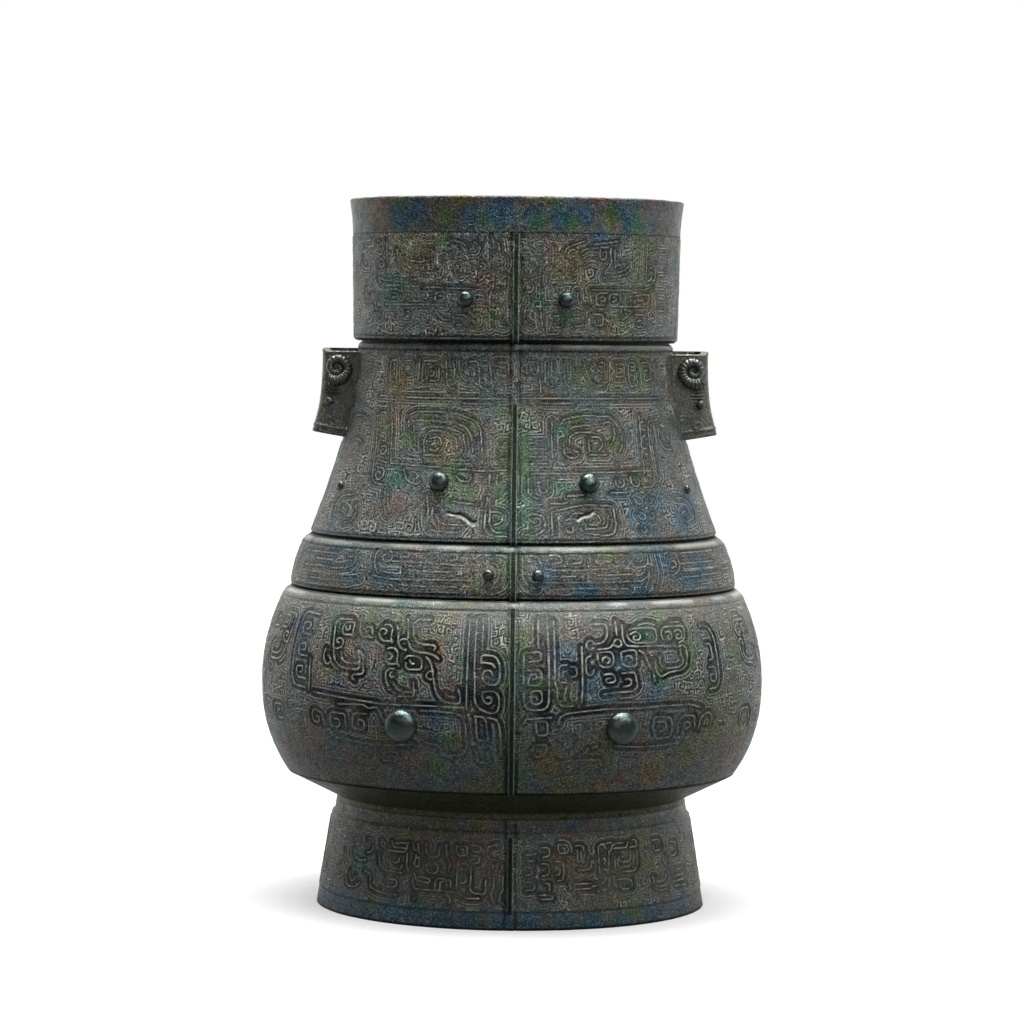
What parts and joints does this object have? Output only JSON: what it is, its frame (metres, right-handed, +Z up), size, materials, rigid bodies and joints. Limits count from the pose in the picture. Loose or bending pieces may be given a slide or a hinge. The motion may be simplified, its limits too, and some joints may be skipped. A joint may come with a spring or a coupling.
{
  "type": "bronze hu vase",
  "caption": "Oval bronze ritual wine vessel with a pear-shaped body on a spreading foot ring, tubular side lugs, seam flanges and boss eyes.",
  "frame": {"origin": "on the floor under the centre of the foot ring", "axes": "+Z up, -Y the front face with the mask, +X the vessel's side seen on the right from the front"},
  "size_m": [0.2868, 0.2316, 0.4],
  "materials": {
    "wall_bronze": "dark cast bronze with grey-brown, green and blue patina",
    "flange_bronze": "dark cast bronze, green in the corners, rubbed along the crest",
    "lug_bronze": "dark cast bronze with a thin grey-green patina",
    "rubbed_bronze": "bronze rubbed smooth and brighter on the crown"
  },
  "bodies": {
    "root": {"back_belly_flange": "flange_bronze", "back_foot_flange": "flange_bronze", "back_mouth_flange": "flange_bronze", "back_neck_flange": "flange_bronze", "back_shoulder_flange": "flange_bronze", "belly": "wall_bronze", "bowl_floor": "wall_bronze", "foot_ring": "wall_bronze", "front_belly_flange": "flange_bronze", "front_foot_flange": "flange_bronze", "front_mouth_flange": "flange_bronze", "front_neck_flange": "flange_bronze", "front_shoulder_flange": "flange_bronze", "left_back_belly_eye": "rubbed_bronze", "left_back_lug_eye": "rubbed_bronze", "left_back_lug_horn": "rubbed_bronze", "left_back_mouth_eye": "rubbed_bronze", "left_back_neck_eye": "rubbed_bronze", "left_back_neck_side_eye": "rubbed_bronze", "left_back_shoulder_eye": "rubbed_bronze", "left_belly_flange": "flange_bronze", "left_foot_flange": "flange_bronze", "left_front_belly_eye": "rubbed_bronze", "left_front_lug_eye": "rubbed_bronze", "left_front_lug_horn": "rubbed_bronze", "left_front_mouth_eye": "rubbed_bronze", "left_front_neck_eye": "rubbed_bronze", "left_front_neck_side_eye": "rubbed_bronze", "left_front_shoulder_eye": "rubbed_bronze", "left_lug": "lug_bronze", "left_mouth_flange": "flange_bronze", "left_neck_flange": "flange_bronze", "left_shoulder_flange": "flange_bronze", "mouth_band": "wall_bronze", "neck": "wall_bronze", "right_back_belly_eye": "rubbed_bronze", "right_back_lug_eye": "rubbed_bronze", "right_back_lug_horn": "rubbed_bronze", "right_back_mouth_eye": "rubbed_bronze", "right_back_neck_eye": "rubbed_bronze", "right_back_neck_side_eye": "rubbed_bronze", "right_back_shoulder_eye": "rubbed_bronze", "right_belly_flange": "flange_bronze", "right_foot_flange": "flange_bronze", "right_front_belly_eye": "rubbed_bronze", "right_front_lug_eye": "rubbed_bronze", "right_front_lug_horn": "rubbed_bronze", "right_front_mouth_eye": "rubbed_bronze", "right_front_neck_eye": "rubbed_bronze", "right_front_neck_side_eye": "rubbed_bronze", "right_front_shoulder_eye": "rubbed_bronze", "right_lug": "lug_bronze", "right_mouth_flange": "flange_bronze", "right_neck_flange": "flange_bronze", "right_shoulder_flange": "flange_bronze", "rim": "wall_bronze", "shoulder_band": "wall_bronze"}
  },
  "joints": []
}
